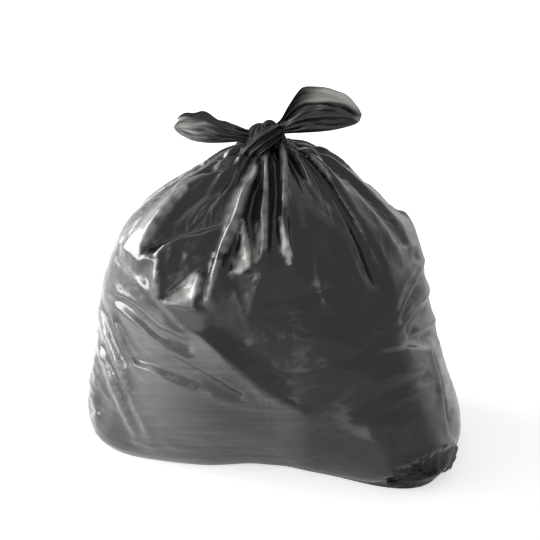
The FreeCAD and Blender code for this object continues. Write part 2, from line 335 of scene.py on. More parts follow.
creases = dict(
    skylineRidge=[(244, 148, 2), (222, 157, 6), (195, 172, 7), (172, 189, 7),
                  (150, 207, 7), (134, 223, 6), (122, 238, 4)],
    skylineGroove=[(243, 152, -3), (222, 160, -2), (200, 171, 0), (180, 185, 1), (162, 199, 3)],
    secondRidge=[(243, 156, 2), (222, 163, 4), (205, 169, 5), (190, 178, 6), (178, 189, 6), (164, 203, 5)],
    neckDark=[(243, 161, -1), (226, 167, -3), (208, 176, -3)],
    patchEdge=[(232, 169, 1), (210, 177, 5), (192, 186, 7), (178, 200, 9),
               (166, 216, 10), (154, 233, 10), (143, 251, 7)],
    hollowLeft=[(240, 172, -5), (228, 182, -6), (204, 196, -5), (186, 210, -4), (172, 224, -3)],
    hollowFoot=[(237, 184, -7), (231, 200, -9), (221, 214, -10), (204, 222, -10),
                (186, 229, -9), (168, 236, -7), (150, 247, -3)],
    facetTop=[(214, 228, -5), (196, 236, -1), (180, 240, 2), (164, 248, 4)],
    facetLeft=[(161, 254, 5), (159, 272, 7), (158, 296, 8)],
    facetFoot=[(161, 296, -2), (178, 284, -6), (197, 268, -8), (210, 256, -9)],
    triangleFoot=[(160, 301, 3), (178, 305, 7), (197, 309, 11)],
    triangleRight=[(198, 273, -1), (198, 290, 5), (198, 307, 11)],
    triangleGap=[(205, 264, -9), (205, 284, -7), (203, 304, -2)],
    belowTriangle=[(156, 306, 2), (178, 311, 2), (200, 315, 2)],
    sliverLeft=[(152, 266, 3), (147, 280, 1), (156, 297, 5)],
    beads=[(142, 262, 6), (150, 259, 7), (159, 264, 5)],
    patchFoot=[(121, 244, 4), (130, 252, 6), (138, 258, 6)],
    leftThin=[(119, 258, 1), (130, 272, 2), (143, 285, 3), (157, 300, 4), (168, 313, 3), (180, 327, 2)],
    bandLeft=[(250, 163, -7), (239, 174, -9), (232, 192, -9), (225, 210, -9),
              (219, 230, -8), (215, 248, -6), (209, 270, -3)],
    bandRight=[(258, 164, 4), (256, 180, 9), (244, 196, 11), (239, 213, 11), (231, 232, 11),
               (222, 249, 10), (214, 272, 9), (208, 292, 8), (202, 309, 5)],
    bandGap=[(262, 161, -5), (261, 178, -6), (254, 196, -3), (249, 214, -3), (247, 232, -4), (252, 250, -4)],
    hookLeft=[(236, 240, -5), (232, 256, -4), (228, 268, -1)],
    hookRidge=[(243, 222, 3), (245, 238, 7), (248, 252, 9), (252, 263, 10)],
    hookFoot=[(228, 273, 4), (240, 271, 8), (251, 266, 11), (262, 262, 9)],
    underHook=[(232, 282, 1), (242, 278, 1), (254, 275, 1)],
    centreLeft=[(268, 152, 5), (266, 170, 8), (266, 195, 9), (264, 220, 10), (265, 240, 10), (263, 257, 8)],
    centreInner=[(258, 228, 1), (256, 244, 0), (255, 258, 2)],
    centreGap=[(276, 150, -4), (277, 170, -5), (277, 192, -4), (275, 215, -2), (273, 236, -1), (275, 256, 0)],
    centreRight=[(282, 144, 5), (284, 160, 8), (285, 182, 9), (284, 203, 9), (284, 222, 8), (287, 242, 8), (290, 262, 5)],
    streakRight=[(292, 222, -1), (294, 242, -1), (296, 262, -1)],
    thinGap=[(286, 148, -4), (292, 160, -5), (298, 174, -4), (303, 188, -1)],
    thinLine=[(286, 142, 4), (294, 154, 6), (304, 171, 7), (313, 188, 6), (322, 203, 3)],
    softLineA=[(293, 178, 2), (298, 193, 4), (303, 210, 4), (306, 226, 1)],
    softLineB=[(304, 186, 0), (310, 204, 3), (320, 218, 4), (331, 224, 2)],
    thinRightGap=[(296, 152, -3), (308, 168, -4), (320, 186, -3), (330, 204, -1)],
    blackValley=[(300, 149, -3), (318, 170, -4), (332, 191, -5), (344, 210, -5), (356, 230, -5),
                 (366, 249, -5), (373, 267, -4), (380, 286, -2)],
    blackLeft=[(304, 160, 1), (322, 186, 2), (336, 208, 2), (347, 230, 2), (356, 252, 2), (362, 276, 1)],
    blackRight=[(304, 147, 3), (322, 167, 5), (338, 189, 5), (351, 209, 6), (363, 229, 6),
                (374, 249, 6), (384, 270, 6), (392, 294, 5), (397, 322, 3)],
    smallShine=[(302, 145, 2), (314, 158, 5), (324, 169, 6), (334, 181, 5)],
    darkLineA=[(318, 154, -3), (336, 169, -4), (352, 184, -4), (367, 199, -4),
               (380, 214, -3), (393, 231, -2), (405, 247, -1)],
    ridgeA=[(344, 184, 3), (356, 199, 5), (369, 215, 6), (381, 230, 6), (391, 247, 6), (400, 266, 4)],
    ridgeB=[(330, 157, 3), (350, 173, 5), (368, 190, 5), (386, 207, 3), (399, 223, 3), (410, 241, 2)],
    outerGap=[(336, 156, -2), (358, 171, -2), (380, 190, -2), (400, 211, -1)],
    shoulderTop=[(402, 249, 3), (410, 249, 4), (418, 246, 4)],
    shoulderFoot=[(400, 270, 3), (408, 264, 2), (414, 258, 0)],
    slantA=[(421, 261, 6), (413, 276, 8), (405, 290, 8), (399, 306, 7), (397, 322, 4)],
    slantGapA=[(425, 272, -1), (415, 291, -3), (406, 306, -4), (400, 322, -2)],
    slantB=[(431, 284, 4), (420, 300, 6), (409, 314, 5), (402, 328, 2)],
    slantGapB=[(433, 300, -1), (423, 314, -4), (411, 328, -2)],
    slantC=[(436, 318, 5), (427, 325, 6), (418, 333, 4)],
    slantGapC=[(437, 330, 0), (428, 335, -3), (412, 337, -4)],
    bulgeTop=[(346, 364, -1), (362, 355, -2), (384, 348, -3), (408, 342, -3), (432, 343, -2)],
    bulgeLip=[(362, 362, 1), (384, 356, 3), (408, 350, 4), (430, 352, 4)],
    bulge=[(372, 384, 3), (396, 374, 5), (424, 370, 5)],
    bulgeCreaseA=[(362, 414, 0), (378, 400, -1), (398, 390, -1), (422, 376, 1)],
    bulgeMiddle=[(378, 412, 2), (404, 397, 4), (430, 386, 4)],
    bulgeCreaseB=[(382, 426, 2), (408, 408, 1), (436, 395, 2)],
    lumpSlant=[(306, 424, 1), (322, 406, 0), (340, 392, 0), (352, 380, 1)],
    cornerSpine=[(374, 429, 7), (382, 446, 6), (391, 464, 6), (397, 478, 4)],
    cornerRight=[(404, 424, 0), (410, 444, 0), (414, 462, 1)],
    tipEdge=[(380, 480, 2), (393, 470, 3), (410, 462, 3), (430, 453, 3), (452, 444, 3)],
    tipUnder=[(390, 486, -5), (400, 477, -9), (415, 469, -11), (434, 460, -10), (452, 451, -6)],
    tipFloor=[(396, 490, -7), (408, 488, -10), (420, 484, -11), (434, 474, -11), (448, 464, -8)],
    edgeMain=[(186, 328, 3), (204, 339, 7), (224, 356, 9), (243, 372, 9),
              (262, 388, 8), (284, 401, 7), (302, 410, 4)],
    edgeAbove=[(214, 322, 0), (238, 340, -1), (262, 358, -1), (288, 380, 0)],
    slantGrooveA=[(121, 300, -1), (134, 309, -2), (145, 322, -3), (156, 333, -3), (172, 343, -2)],
    slantRidgeA=[(108, 291, 3), (128, 297, 5), (148, 311, 6), (166, 326, 6), (184, 336, 5)],
    slantRidgeB=[(106, 302, 3), (122, 310, 5), (138, 324, 6), (154, 339, 6),
                 (172, 350, 6), (196, 364, 5), (226, 380, 5), (252, 396, 3)],
    slantGrooveB=[(166, 333, -2), (178, 339, -3), (190, 346, -2)],
    slantGrooveC=[(170, 358, -2), (190, 371, -3), (212, 383, -3), (238, 397, -2)],
    darkFacet=[(119, 322, -2), (126, 338, -4), (134, 350, -4), (146, 358, -2)],
    creaseAbove=[(136, 361, -3), (154, 366, -3), (176, 377, -3), (200, 388, -2)],
    brightCrease=[(130, 363, 2), (142, 367, 6), (156, 372, 7), (176, 382, 7), (208, 394, 4), (250, 406, 3), (300, 412, 2)],
    panelTop=[(132, 384, -1), (160, 394, -1), (200, 405, 0), (260, 414, 0), (300, 420, 0)],
    panelLine=[(150, 424, 1), (200, 430, 2), (260, 434, 2), (310, 440, 1)],
    leftLineA=[(105, 298, 2), (112, 314, 4), (118, 332, 4), (124, 352, 4), (134, 364, 4)],
    leftGapA=[(103, 304, -2), (108, 324, -4), (116, 346, -4), (126, 362, -3)],
    leftLineB=[(99, 312, 3), (106, 336, 5), (115, 360, 5), (124, 384, 5),
               (135, 407, 4), (147, 430, 4), (154, 452, 2)],
    leftGapB=[(98, 330, -1), (106, 354, -3), (115, 378, -4), (126, 402, -3), (138, 428, -2)],
    leftLineC=[(97, 346, 3), (103, 362, 4), (110, 382, 4), (120, 404, 3), (130, 426, 2), (136, 446, 1)],
    lobeGap=[(99, 360, -3), (104, 372, -3), (108, 392, -3)],
    lobe=[(92, 376, 5), (94, 396, 6), (96, 416, 4)],
    lobeCrease=[(94, 410, -1), (106, 411, -3), (116, 409, -2)],
    leftDark=[(112, 402, -3), (120, 420, -4), (130, 442, -2)],
    centreDent=[(270, 300, -1), (300, 296, -3), (330, 290, -1)],
    centreLineA=[(318, 234, 1), (318, 262, 3), (322, 288, 4), (332, 312, 2)],
    centreGapA=[(311, 240, -1), (312, 286, -1)],
    centreLineB=[(338, 226, 1), (350, 256, 4), (362, 284, 4), (366, 304, 2)],
    centreGapB=[(330, 240, -1), (340, 266, -2), (352, 292, -1)],
    pointLeft=[(230, 277, 2), (238, 296, 4), (246, 316, 4)],
    pointRight=[(263, 268, 6), (256, 292, 4), (249, 318, 4)],
    centreFold=[(236, 348, 1), (290, 338, 4), (336, 340, 3), (362, 350, 0)],
    midLineA=[(262, 366, 1), (300, 372, 4), (334, 366, 3), (362, 372, 1)],
    midLineB=[(286, 398, 1), (316, 388, 3), (346, 384, 3)],
    rightFin=[(440, 342, 3), (450, 366, 4), (456, 400, 3), (458, 432, 2)],
    finGap=[(433, 352, -5), (441, 376, -7), (446, 400, -7), (450, 426, -4)],
    bulgeEdge=[(428, 350, 4), (434, 372, 5), (439, 398, 5), (443, 426, 4), (446, 442, 2)],
)


# painted light: highlights and reflections painted into the film's colour, and light painted in where one thin layer
# lets the white behind it through: a line through the photograph as pixel, pixel and how far it spreads there in
# pixels, and how pale it is, 0 to 1
thinPlaces = dict(
    lowRight=([(330, 448, 26), (380, 444, 26), (420, 436, 22)], 0.030),
    rightShoulder=([(432, 262, 22), (425, 292, 26), (424, 324, 24)], 0.10),
    brightPatch=([(184, 188, 5), (170, 200, 8), (156, 216, 11), (144, 233, 12), (134, 246, 10)], 0.32),
    triangle=([(166, 302, 4), (182, 296, 10), (194, 284, 13)], 0.50),
    point=([(246, 282, 11), (247, 300, 7), (248, 314, 2)], 0.09),
    band=([(253, 168, 5), (240, 195, 10), (231, 222, 11), (224, 248, 7)], 0.36),
    bandFoot=([(218, 262, 4), (209, 286, 5), (203, 304, 3)], 0.30),
    strip=([(264, 158, 4), (266, 192, 3.5), (264, 226, 5), (261, 246, 8), (255, 260, 4)], 0.36),
    stripRight=([(283, 144, 5), (284, 168, 5), (285, 204, 3.5)], 0.26),
    streak=([(280, 217, 1.5), (284, 238, 4.5), (288, 254, 5.5), (289, 264, 2)], 0.85),
    hook=([(243, 220, 1.5), (245, 238, 4.5), (246, 252, 8), (241, 263, 12), (239, 268, 8)], 0.75),
    sliver=([(155, 270, 2), (156, 284, 5), (157, 294, 3)], 0.45),
    thinLine=([(284, 141, 2.5), (296, 158, 2.5), (310, 182, 3), (323, 203, 2)], 0.13),
    softLineA=([(292, 176, 3), (299, 200, 5), (305, 228, 3)], 0.05),
    softLineB=([(303, 184, 3), (311, 206, 5), (331, 224, 4)], 0.06),
    smallShine=([(312, 157, 2), (322, 167, 4), (331, 179, 2)], 0.45),
    brightCrease=([(139, 365, 2), (156, 371, 4), (180, 382, 4), (210, 394, 2.5)], 0.32),
    leftThin=([(121, 260, 2.5), (143, 284, 3.5), (165, 310, 3.5), (182, 328, 2.5)], 0.20),
    leftSeamA=([(99, 312, 2.5), (106, 336, 4), (115, 360, 4), (128, 390, 2.5)], 0.22),
    leftSeamB=([(97, 350, 2.5), (108, 378, 4), (124, 410, 4), (136, 444, 2.5)], 0.16),
    slantRidge=([(110, 296, 2.5), (130, 312, 4), (152, 336, 4), (176, 352, 2.5)], 0.18),
    slantA=([(421, 261, 2), (412, 277, 3), (404, 292, 3.5), (398, 310, 2)], 0.24),
    slantB=([(432, 284, 2), (420, 301, 3.5), (408, 316, 2)], 0.26),
    slantC=([(437, 317, 2), (424, 329, 3.5), (412, 336, 2)], 0.28),
    flapTop=([(428, 338, 2), (434, 343, 4), (438, 350, 3)], 0.80),
)


# outside this line, at the right, a flap of film stands off the sack, and the light through it is
# painted into its colour: height in the photograph, its inner edge there, and how pale it is
flap = (
    (334, 425, 0.0), (342, 430, 0.8), (362, 438, 1.0), (382, 443, 1.0),
    (402, 447, 0.85), (420, 450, 0.6), (437, 453, 0.4), (452, 456, 0.0),
)


# below this line the panel of the sack is painted paler: painted reflection of the bright floor and lamps on the left,
# fading towards the right
paintedReflectionBelow = dict(
    line=[(96, 296), (130, 300), (160, 314), (200, 336), (262, 388),
          (302, 411), (340, 430), (374, 425), (382, 445), (394, 490)],
    pale=0.150, soft=4,
    fadesFrom=278, fadesTo=318, beyond=0.20,
)


# only what the photograph shows is painted, for nothing is known of the far side: how square to the
# lens and how far forward the film is, with its folds evened out in that many rounds
seenSide = dict(rounds=40, square=(-0.14, 0.10), middle=0.03, forward=(-0.10, -0.02))


# the painted light of the sack's film, 0 to 1: painted highlights, painted reflections and painted light through the
# film
def thinFilmAt(sheet):
    u, v = toPhoto(sheet)
    square = squareToLens(sheet)
    for _ in range(seenSide["rounds"]):
        square = 0.5 * square + 0.25 * (np.roll(square, 1, axis=1) + np.roll(square, -1, axis=1))
        square[1:-1] = 0.5 * square[1:-1] + 0.25 * (square[:-2] + square[2:])
    seen = smoothStep(seenSide["middle"] - sheet[1], *seenSide["forward"]) * smoothStep(square, *seenSide["square"])
    thin = np.zeros(u.shape)
    # the painted highlights are broken up into streaks
    streaks = 0.90 + 0.22 * noiseAt(u / 8, v / 12, 0 * u, 71) + 0.15 * noiseAt(u / 20, v / 20, 0 * u, 72)
    streaks = np.clip(streaks, 0.3, 1.25)
    for through, pale in thinPlaces.values():
        off, spread = offLine(u, v, through)
        thin = np.maximum(thin, pale * streaks * (1 - smoothStep(off, 0.45 * spread, spread)))
    edge = np.interp(u, *zip(*paintedReflectionBelow["line"]), right=900)
    below = paintedReflectionBelow["pale"] * smoothStep(v - edge, -1, paintedReflectionBelow["soft"]) * smoothStep(u, 112, 150)
    below *= 1 - (1 - paintedReflectionBelow["beyond"]) * smoothStep(u, paintedReflectionBelow["fadesFrom"], paintedReflectionBelow["fadesTo"])
    below *= 1 + 0.10 * noiseAt(u / 70, v / 4, 0 * u, 74)
    thin = np.maximum(thin, below)
    down, inner, pale = zip(*flap)
    outside = smoothStep(u - np.interp(v, down, inner), -1.5, 2)
    thin = np.maximum(thin, np.interp(v, down, pale) * np.clip(streaks, 0.6, 1) * outside)
    return thin * seen


# where the film is bunched at the front right corner, and its colour is painted darker as shade: pixel, pixel and how
# far it spreads there
crushedShadedPlace = [(385, 488, 5), (399, 482, 11), (416, 477, 13), (434, 468, 12), (449, 457, 9), (458, 450, 5)]


def crushedShadedAt(sheet):
    # 1 where the film is crushed and takes the darker material, painted shade, by face
    u, v = toPhoto(sheet)
    off, spread = offLine(u, v, crushedShadedPlace)
    ragged = spread * (1 + 0.25 * noiseAt(u / 6, v / 6, 0 * u, 73))
    return ((off < ragged) * (sheet[1] < 0))[:-1].astype(int)


def offLine(x, y, through):
    # how far each place is from a line, and the line's own third number there
    nearest = np.full(x.shape, 1e9)
    third = np.zeros(x.shape)
    for (ax, ay, ah), (bx, by, bh) in zip(through, through[1:]):
        t = np.clip(((x - ax) * (bx - ax) + (y - ay) * (by - ay)) / math.dist((ax, ay), (bx, by)) ** 2, 0, 1)
        off = np.hypot(x - ax - t * (bx - ax), y - ay - t * (by - ay))
        closer = off < nearest
        nearest = np.where(closer, off, nearest)
        third = np.where(closer, ah + t * (bh - ah), third)
    return nearest, third


def backCreases():
    # creases for the sides and the back, as (angle in degrees, height in mm, mm out)
    rng = np.random.default_rng(film["seed"])
    lines = []
    for k in range(film["backFolds"]):
        angle = 8 + (k + 0.5 + rng.uniform(-0.25, 0.25)) * 164 / film["backFolds"]
        foot = rng.uniform(170, 330)
        high = rng.uniform(5, 9) * (1 if k % 2 == 0 else -1)
        drift = rng.uniform(-7, 7)
        levels = np.linspace(424, foot, 6)
        shape = (0.45, 0.9, 1.0, 0.85, 0.5, 0.1)
        lines.append([(angle + drift * t ** 1.5 + rng.uniform(-0.7, 0.7), level, high * share)
                      for t, level, share in zip(np.linspace(0, 1, 6), levels, shape)])
    for k in range(film["backSlants"]):
        angle = rng.uniform(0, 180)
        level = rng.uniform(40, 250)
        lean = rng.choice((-1, 1)) * rng.uniform(8, 24)
        drop = rng.uniform(30, 110)
        high = rng.uniform(3, 6) * rng.choice((-1, 1, 1))
        shares = zip((0, 0.33, 0.67, 1), (0.2, 1, 0.9, 0.2))
        lines.append([(angle + lean * t, level - drop * t, high * share) for t, share in shares])
    return lines


def creasePull(base, angles, part):
    # how the creases pull at each point of a mesh that many times coarser, and what draws it taut
    # between them, all in mm
    u, v = toPhoto(base)
    square = squareToLens(base)
    facing = smoothStep(square, -0.05, 0.05)
    # the outline shows a height in full, and less of it was needed there, least on the right
    slant = np.where(u > 270, 0.5, 0.8)
    slant += (1 - slant) * smoothStep(square, 0.05, 0.45)
    # and the long panel low on the left lies flatter
    slant *= 1 - 0.45 * (1 - smoothStep(u, 190, 230)) * smoothStep(v, 280, 310)
    pixel = 1000 * photo["distance"] * photo["sensor"] / photo["lens"] / photo["pixels"]
    cell = film["cell"] * part
    weight, pulled = np.zeros(u.shape), np.zeros(u.shape)
    for through in creases.values():
        off, height = offLine(u, v, through)
        w = np.exp(-(off * pixel / (film["creaseHalf"] * cell)) ** 2)
        weight += w * facing
        pulled += w * facing * slant * height
    x, y = leanAt(base[2])
    reach = 1000 * np.hypot(base[0] - x, base[1] - y)
    degrees = np.degrees(angles)[None, :]
    for through in backCreases():
        # in mm round the sack, from the crease's own top
        aside = (degrees - through[0][0] + 180) % 360 - 180
        scale = math.pi / 180 * np.interp(np.mean([h for _, h, _ in through]), (0, 430), (260, 60))
        local = [((a - through[0][0]) * scale, h, out) for a, h, out in through]
        off, height = offLine(aside * math.pi / 180 * reach, 1000 * base[2], local)
        w = np.exp(-(off / (film["creaseHalf"] * cell)) ** 2)
        weight += w * (1 - facing)
        pulled += w * (1 - facing) * height
    across, up = lengths(base)
    wx = 1 / (1000 * across) ** 2
    wxBefore = np.roll(wx, 1, axis=1)
    wy = 1 / (1000 * up) ** 2
    firm = film["creaseFirm"] / cell ** 2
    loose = 1 / film["tautReach"] ** 2

    def solve(field, rounds):
        for _ in range(rounds):
            total = pulled * firm + wx * np.roll(field, -1, axis=1) + wxBefore * np.roll(field, 1, axis=1)
            share = weight * firm + loose + wx + wxBefore
            total[:-1] += wy * field[1:]
            total[1:] += wy * field[:-1]
            share[:-1] += wy
            share[1:] += wy
            field = total / share
        return field

    return solve, pulled / (weight + 0.05), np.minimum(weight, 1)


def neckPleats(base, angles):
    # close pleats where the mouth is gathered, metres in or out
    a = angles[None, :]
    wide, fine = film["neckPleats"]
    wave = np.cos(wide * a + 1.3 * np.sin(3 * a + 1) + 0.8 * np.sin(5 * a))
    wave = wave + 0.6 * np.cos(fine * a + 1.7 * np.sin(2 * a))
    rises = smoothStep(base[2], 0.345, 0.41) * (1 - 0.5 * smoothStep(base[2], 0.415, 0.43))
    return film["neckPleatHigh"] * wave * rises


def noiseAt(x, y, z, seed):
    # smooth noise at points given in cells, about +-1: waves of many directions
    rng = np.random.default_rng(seed)
    total = np.zeros(x.shape)
    for _ in range(14):
        way = rng.normal(size=3)
        way *= rng.uniform(0.6, 1.3) * 2 * math.pi / np.linalg.norm(way)
        total += np.sin(x * way[0] + y * way[1] + z * way[2] + rng.uniform(0, 6.3))
    return total / 2.6


def crumple(base):
    # creased film: sharp ridges between flat places, long ways up near the neck and level near the floor
    x, y, z = 1000 * base
    total = np.zeros(x.shape)
    for size, high, seed in film["crumples"]:
        low = smoothStep(base[2], 0.22, 0.30)
        upright = noiseAt(x / size, y / size, z / (3.2 * size), seed)
        level = noiseAt(x / (2.2 * size), y / (2.2 * size), z / size, seed + 9)
        ridge = -np.abs(upright) * low - np.abs(level) * (1 - low) + 0.6
        total += high * ridge * (0.6 + 0.4 * np.tanh(noiseAt(x / 90, y / 90, z / 90, seed + 20)))
    # most of all in the loose lobe low on the left
    total *= 1 + 1.1 * smoothStep(-x, 160, 210) * (1 - smoothStep(z, 110, 190))
    front = smoothStep(-(y - 30) / np.hypot(x, y - 30), -0.1, 0.5)
    total *= smoothStep(base[2], 0.003, 0.02) * (1 - 0.6 * smoothStep(base[2], 0.36, 0.42))
    return 0.001 * total * (1 - 0.15 * front)


def foldedForm(form):
    # the crease field in metres, solved from coarse to fine
    field = None
    for part, rounds in ((8, 600), (4, 400), (2, 300), (1, 300)):
        rows, columns = film["upRows"] // part, film["around"] // part
        base = startSheet(form, rows, columns)
        solve, first, near = creasePull(base, columnAngles(columns), part)
        field = first if field is None else finer(field[None], rows, columns)[0]
        field = solve(field, rounds)
    soft = field.copy()
    side = film["creaseSoft"]
    soft[1:-1] = side * field[:-2] + (1 - 2 * side) * field[1:-1] + side * field[2:]
    soft = side * np.roll(soft, 1, axis=1) + (1 - 2 * side) * soft + side * np.roll(soft, -1, axis=1)
    report("creases drawn taut")
    soft *= (1 - 0.8 * smoothStep(base[2], 0.414, 0.431)) * smoothStep(base[2], 0.0007, 0.003)
    return 0.001 * film["creaseGain"] * soft + neckPleats(base, columnAngles(columns)) + crumple(base), near


def settle(goal, form, acrossRest, upRest, hold, outOfGoal):
    # the film keeps its length both ways and is pushed off the contents, so its spare girth buckles
    sheet = goal.copy()
    rows = sheet.shape[1]
    acrossNow = lengths(sheet)[0]
    ahead = np.roll(sheet, -1, axis=2)
    rising = ((ahead[:, 1:] - sheet[:, :-1]) ** 2).sum(axis=0)
    falling = ((sheet[:, 1:] - ahead[:, :-1]) ** 2).sum(axis=0)
    last = sheet.copy()
    x, y = leanAt(goal[2])
    goalFar = np.hypot(goal[0] - x, goal[1] - y)
    free = slice(2, rows - 2)

    def tug(d, rest, strength):
        dist = np.sqrt((d * d).sum(axis=0)) + 1e-9
        return d * (strength * (dist - rest) / dist)

    def stiffen(d, rest, strength):
        # straightens gentle bends and lets go of sharp ones, so bends gather into creases
        dist = np.sqrt((d * d).sum(axis=0)) + 1e-9
        bend = np.minimum((dist - rest) / dist, 0)
        return d * (strength * bend * (film["creaseHolds"] + 1 / (1 + (bend / film["creaseAt"]) ** 2)))

    for step in range(film["steps"]):
        grown = min(1.0, (step + 1) / (film["growsOver"] * film["steps"]))
        across = acrossNow + (acrossRest - acrossNow) * grown
        move = np.zeros_like(sheet)
        ahead = np.roll(sheet, -1, axis=2)
        c = tug(ahead - sheet, across, film["tug"])
        move += c - np.roll(c, 1, axis=2)
        c = tug(sheet[:, 1:] - sheet[:, :-1], upRest, film["tug"])
        move[:, :-1] += c
        move[:, 1:] -= c
        gained = across[:-1] ** 2 - acrossNow[:-1] ** 2
        c = tug(ahead[:, 1:] - sheet[:, :-1], np.sqrt(rising + gained), film["shear"])
        move[:, :-1] += c
        move[:, 1:] -= np.roll(c, 1, axis=2)
        c = tug(sheet[:, 1:] - ahead[:, :-1], np.sqrt(falling + gained), film["shear"])
        move[:, 1:] -= c
        move[:, :-1] += np.roll(c, 1, axis=2)
        c = stiffen(np.roll(sheet, -2, axis=2) - sheet, across + np.roll(across, -1, axis=1), film["stiffness"])
        move += c - np.roll(c, 2, axis=2)
        c = stiffen(sheet[:, 2:] - sheet[:, :-2], upRest[1:] + upRest[:-1], film["stiffness"])
        move[:, :-2] += c
        move[:, 2:] -= c
        drift = (sheet - last) * film["drift"]
        last = sheet.copy()
        kept = hold * ((goal - sheet) * outOfGoal).sum(axis=0) * outOfGoal
        sheet[:, free] += (move + drift + kept)[:, free]
        # off the contents and the floor, and drawn lightly against the contents
        x, y = leanAt(sheet[2])
        dx, dy = sheet[0] - x, sheet[1] - y
        far = np.hypot(dx, dy) + 1e-9
        angle = np.arctan2(dy, dx)
        core = reachAt(form, angle, sheet[2]) - contentInset(sheet[2]) + lumpsAt(angle, sheet[2])
        core = np.minimum(core, goalFar)
        press = np.maximum(core / far, 1 - film["cling"] / far)
        press[:2] = 1
        press[-2:] = 1
        sheet[0] = x + dx * press
        sheet[1] = y + dy * press
        sheet[2] = np.maximum(sheet[2], film["floorGap"])
    return sheet


def finer(sheet, rows, columns):
    # resampled smoothly to more rows and columns
    old = sheet.shape
    u = np.arange(columns) * old[2] / columns
    v = np.linspace(0, old[1] - 1, rows)
    i = np.floor(u).astype(int)
    fu = (u - i)[None, None, :]
    s = sheet[:, :, i % old[2]] * (1 - fu) + sheet[:, :, (i + 1) % old[2]] * fu
    j = np.minimum(np.floor(v).astype(int), old[1] - 2)
    fv = (v - j)[None, :, None]
    return s[:, j] * (1 - fv) + s[:, j + 1] * fv


def lumpsAt(angle, z):
    # the refuse presses out in rounded lumps, and sinks between them
    a, b = angle, z / 0.1
    wave = np.sin(5 * a + 2.1 * b + 0.6) * np.sin(3.1 * b - 2 * a + 1.0)
    wave += 0.7 * np.sin(9 * a - 2.7 * b + 2.2) * np.sin(4.3 * b + 3 * a)
    return film["lumps"] * (wave - 1.0) * smoothStep(z, 0.01, 0.08) * (1 - smoothStep(z, 0.33, 0.40))


def contentInset(z):
    # the refuse fills the sack tightly at the bottom and leaves it loose under the neck
    return 0.002 + 0.016 * smoothStep(z, 0.20, 0.38)


def lengths(sheet):
    across = np.sqrt(((np.roll(sheet, -1, axis=2) - sheet) ** 2).sum(axis=0))
    up = np.sqrt(((sheet[:, 1:] - sheet[:, :-1]) ** 2).sum(axis=0))
    return across, up


def makeFilmSheet(form):
    rows, columns = film["upRows"], film["around"]
    base = startSheet(form, rows, columns)
    out = outward(base)
    field, near = foldedForm(form)
    folded = base + out * field
    hold = film["holdBetween"] + (film["hold"] - film["holdBetween"]) * near
    hold = np.maximum(hold, 0.30 * (1 - smoothStep(base[2], 0.004, 0.025)))
    across, up = lengths(folded)
    plain = lengths(base)[0]
    heights, shares = zip(*film["spare"])
    share = np.interp(base[2].mean(axis=1), heights, shares)[:, None]
    share = np.minimum(share, film["girth"] / plain.sum(axis=1, keepdims=True))
    acrossRest = np.maximum(share * plain, across)
    sheet = settle(folded, form, acrossRest, up, hold, out)
    report(f"film settled at {columns} by {rows}")
    return sheet


def makeSack(sheet, materials):
    rows, columns = sheet.shape[1:]
    verts = sheet.reshape(3, -1).T
    faces = gridFaces(rows, columns, True)
    foot, top = verts[:columns].mean(axis=0), verts[-columns:].mean(axis=0)
    # fans close the base and the gathered mouth, which the knot hides
    middle = rows * columns
    faces += [((k + 1) % columns, k, middle) for k in range(columns)]
    last = middle - columns
    faces += [(last + k, last + (k + 1) % columns, middle + 1) for k in range(columns)]
    sack = addMesh("film", np.vstack((verts, foot, top)).tolist(), faces, materials)
    paint(sack, np.append(thinFilmAt(sheet).ravel(), (0, 0)))
    # the crushed corner takes the darker material: painted shade
    crushedShaded = np.append(crushedShadedAt(sheet).ravel(), np.zeros(2 * columns, int))
    sack.data.polygons.foreach_set("material_index", crushedShaded)
    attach(sack, "root")
    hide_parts("bag")


# the ears, the knot and the bunched seal

def curveThrough(points, count):
    # an even, smooth line through the points
    points = np.array(points, float)
    ends = np.vstack((2 * points[0] - points[1], points, 2 * points[-1] - points[-2]))
    t = np.linspace(0, len(points) - 1, count * 8)
    i = np.minimum(t.astype(int), len(points) - 2)
    f = (t - i)[:, None]
    p0, p1, p2, p3 = (ends[i + k] for k in range(4))
    bend, twist = 2 * p0 - 5 * p1 + 4 * p2 - p3, 3 * p1 - p0 - 3 * p2 + p3
    line = 0.5 * (2 * p1 + (p2 - p0) * f + bend * f ** 2 + twist * f ** 3)
    gone = np.concatenate(([0], np.cumsum(np.linalg.norm(np.diff(line, axis=0), axis=1))))
    even = np.linspace(0, gone[-1], count)
    return np.stack([np.interp(even, gone, line[:, k]) for k in range(line.shape[1])], axis=1)


def openGrid(name, sheet, material, closed=False):
    rows, columns = sheet.shape[1:]
    piece = addMesh(name, sheet.reshape(3, -1).T.tolist(), gridFaces(rows, columns, closed), [material])
    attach(piece, "root")
    return piece


def unit(vectors):
    return vectors / np.linalg.norm(vectors, axis=1, keepdims=True)


def sweep(path, first, second, a, b):
    # a sheet round a path, out by a and b along the two directions
    return path.T[:, :, None] + first.T[:, :, None] * a[None] + second.T[:, :, None] * b[None]


def sideOf(columns):
    return np.linspace(0, 2 * math.pi, columns, endpoint=False)[None, :]


def rope(path, radius, ridges, depth, seed, columns=48):
    # film gathered into a rope along a path, its pleats running along it
    ahead = unit(np.gradient(path, axis=0))
    side = unit(np.cross(ahead, (0.1, 1.0, 0.2)))
    angle = sideOf(columns)
    t = np.linspace(0, 1, len(path))
    reach = np.array([radius(k) for k in t])[:, None]
    uneven = 0.08 * ripple((len(path), columns), 8, 14, seed)
    reach = reach * (1 + depth * np.cos(ridges * angle + 2.5 * t[:, None]) + uneven)
    return sweep(path, side, np.cross(ahead, side), reach * np.cos(angle), reach * np.sin(angle))


